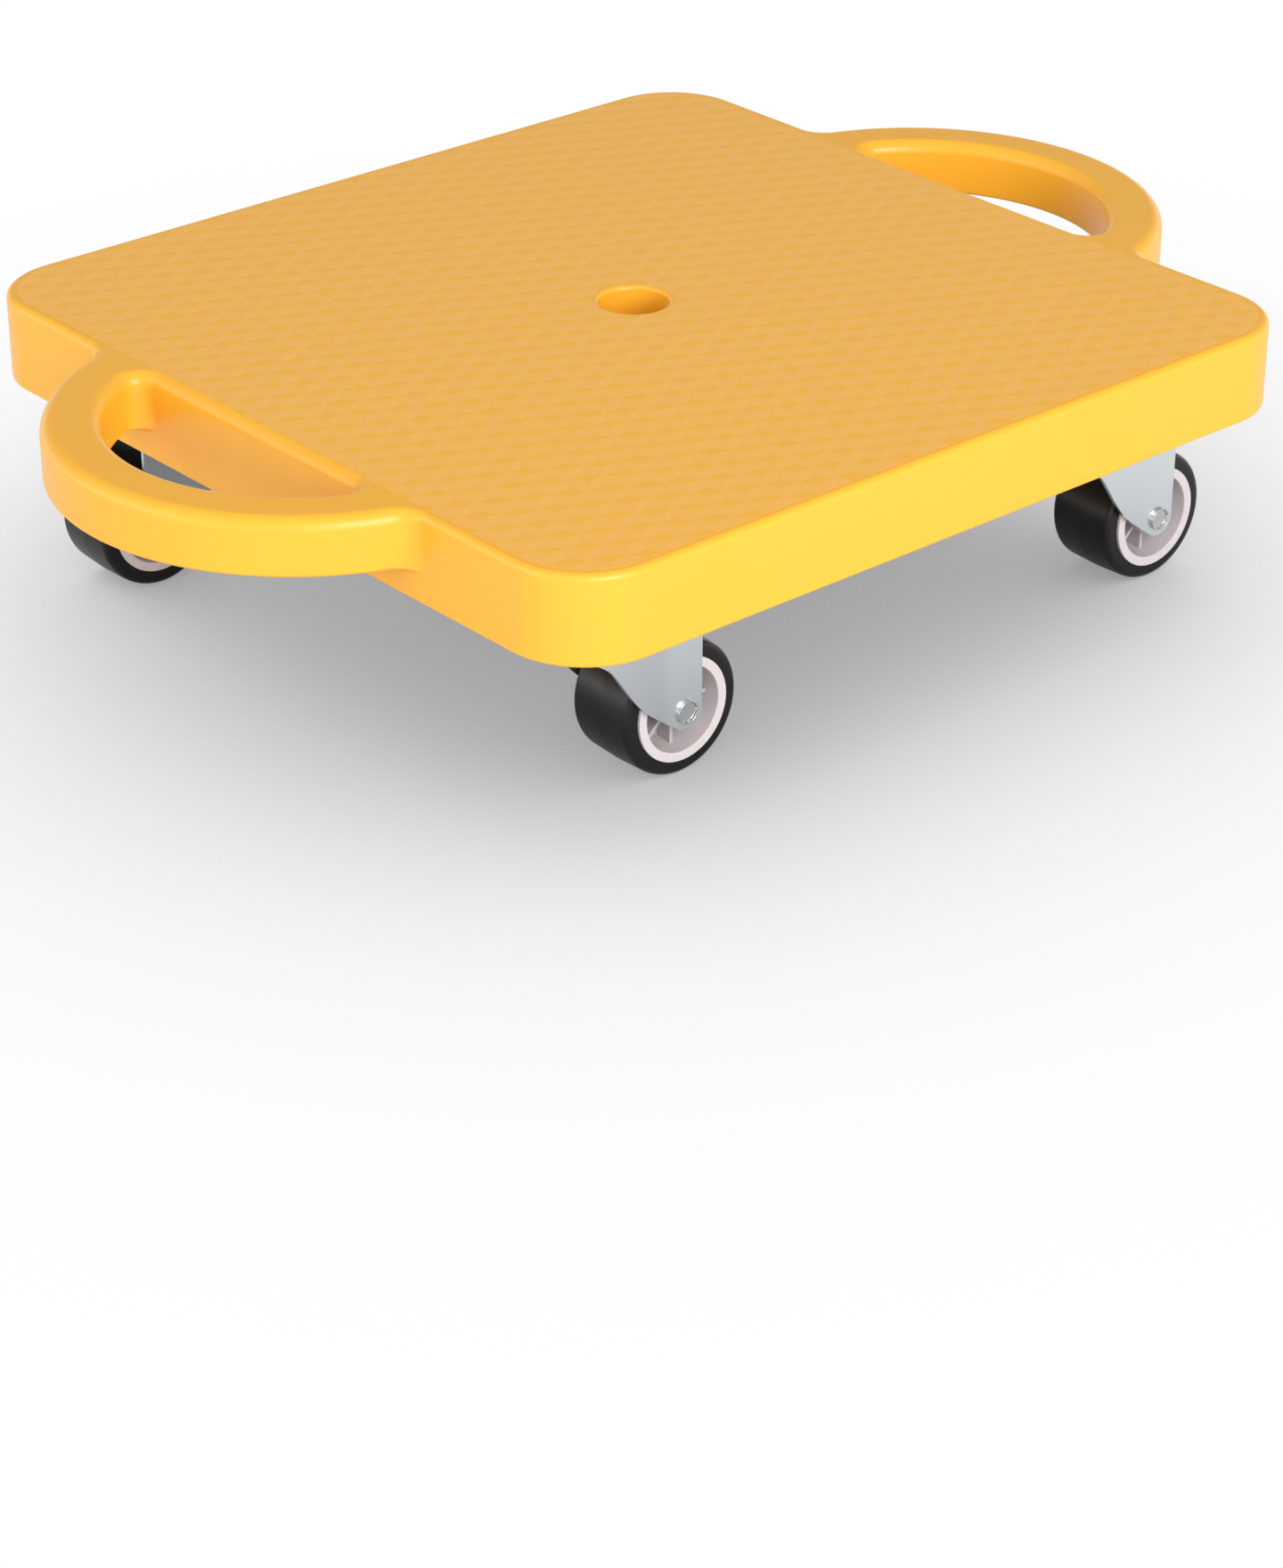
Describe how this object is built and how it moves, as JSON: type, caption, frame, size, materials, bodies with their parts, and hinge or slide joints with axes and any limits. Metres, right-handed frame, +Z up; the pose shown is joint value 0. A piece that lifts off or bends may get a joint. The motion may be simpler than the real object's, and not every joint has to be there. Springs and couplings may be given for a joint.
{
  "type": "scooter board",
  "caption": "Square plastic scooter board with loop handles at opposite sides, a patterned top, a centre hole and a swivel caster under each corner.",
  "frame": {"origin": "on the floor, under the middle of the deck", "axes": "+X towards one handle, +Y across the handles, +Z up"},
  "size_m": [0.4224, 0.3006, 0.0953],
  "materials": {
    "deck_plastic": "satin",
    "zinc_steel": "zinc plated",
    "bright_steel": "polished",
    "wheel_plastic": "satin",
    "tyre_black": "smooth"
  },
  "bodies": {
    "board": {"deck": "deck_plastic", "front_left_mount_plate": "zinc_steel", "front_left_swivel_pin": "zinc_steel", "front_left_swivel_washer": "zinc_steel", "front_left_plate_screw_1": "zinc_steel", "front_left_plate_screw_2": "zinc_steel", "front_left_plate_screw_3": "zinc_steel", "front_left_plate_screw_4": "zinc_steel", "front_right_mount_plate": "zinc_steel", "front_right_swivel_pin": "zinc_steel", "front_right_swivel_washer": "zinc_steel", "front_right_plate_screw_1": "zinc_steel", "front_right_plate_screw_2": "zinc_steel", "front_right_plate_screw_3": "zinc_steel", "front_right_plate_screw_4": "zinc_steel", "rear_left_mount_plate": "zinc_steel", "rear_left_swivel_pin": "zinc_steel", "rear_left_swivel_washer": "zinc_steel", "rear_left_plate_screw_1": "zinc_steel", "rear_left_plate_screw_2": "zinc_steel", "rear_left_plate_screw_3": "zinc_steel", "rear_left_plate_screw_4": "zinc_steel", "rear_right_mount_plate": "zinc_steel", "rear_right_swivel_pin": "zinc_steel", "rear_right_swivel_washer": "zinc_steel", "rear_right_plate_screw_1": "zinc_steel", "rear_right_plate_screw_2": "zinc_steel", "rear_right_plate_screw_3": "zinc_steel", "rear_right_plate_screw_4": "zinc_steel"},
    "front_left_caster": {"front_left_fork": "zinc_steel", "front_left_ball_ring": "bright_steel", "front_left_axle_bolt": "bright_steel", "front_left_axle_nut": "bright_steel", "front_left_axle_sleeve": "zinc_steel"},
    "front_left_wheel": {"front_left_wheel_core": "wheel_plastic", "front_left_tyre": "tyre_black"},
    "front_right_caster": {"front_right_fork": "zinc_steel", "front_right_ball_ring": "bright_steel", "front_right_axle_bolt": "bright_steel", "front_right_axle_nut": "bright_steel", "front_right_axle_sleeve": "zinc_steel"},
    "front_right_wheel": {"front_right_wheel_core": "wheel_plastic", "front_right_tyre": "tyre_black"},
    "rear_left_caster": {"rear_left_fork": "zinc_steel", "rear_left_ball_ring": "bright_steel", "rear_left_axle_bolt": "bright_steel", "rear_left_axle_nut": "bright_steel", "rear_left_axle_sleeve": "zinc_steel"},
    "rear_left_wheel": {"rear_left_wheel_core": "wheel_plastic", "rear_left_tyre": "tyre_black"},
    "rear_right_caster": {"rear_right_fork": "zinc_steel", "rear_right_ball_ring": "bright_steel", "rear_right_axle_bolt": "bright_steel", "rear_right_axle_nut": "bright_steel", "rear_right_axle_sleeve": "zinc_steel"},
    "rear_right_wheel": {"rear_right_wheel_core": "wheel_plastic", "rear_right_tyre": "tyre_black"}
  },
  "joints": [
    {"name": "front_left_swivel", "type": "hinge", "parent": "board", "child": "front_left_caster", "pos_m": [-0.1035, -0.1046, 0.053], "axis": [0, 0, 1], "continuous": true},
    {"name": "front_left_roll", "type": "hinge", "parent": "front_left_caster", "child": "front_left_wheel", "pos_m": [-0.0825, -0.10497, 0.0222], "axis": [0.0175, 0.9998, 0], "continuous": true},
    {"name": "front_right_swivel", "type": "hinge", "parent": "board", "child": "front_right_caster", "pos_m": [0.1035, -0.1046, 0.053], "axis": [0, 0, 1], "continuous": true},
    {"name": "front_right_roll", "type": "hinge", "parent": "front_right_caster", "child": "front_right_wheel", "pos_m": [0.1245, -0.10497, 0.0222], "axis": [0.0175, 0.9998, 0], "continuous": true},
    {"name": "rear_left_swivel", "type": "hinge", "parent": "board", "child": "rear_left_caster", "pos_m": [-0.1035, 0.1046, 0.053], "axis": [0, 0, 1], "continuous": true},
    {"name": "rear_left_roll", "type": "hinge", "parent": "rear_left_caster", "child": "rear_left_wheel", "pos_m": [-0.1245, 0.10497, 0.0222], "axis": [-0.0175, -0.9998, 0], "continuous": true},
    {"name": "rear_right_swivel", "type": "hinge", "parent": "board", "child": "rear_right_caster", "pos_m": [0.1035, 0.1046, 0.053], "axis": [0, 0, 1], "continuous": true},
    {"name": "rear_right_roll", "type": "hinge", "parent": "rear_right_caster", "child": "rear_right_wheel", "pos_m": [0.0825, 0.10497, 0.0222], "axis": [-0.0175, -0.9998, 0], "continuous": true}
  ]
}
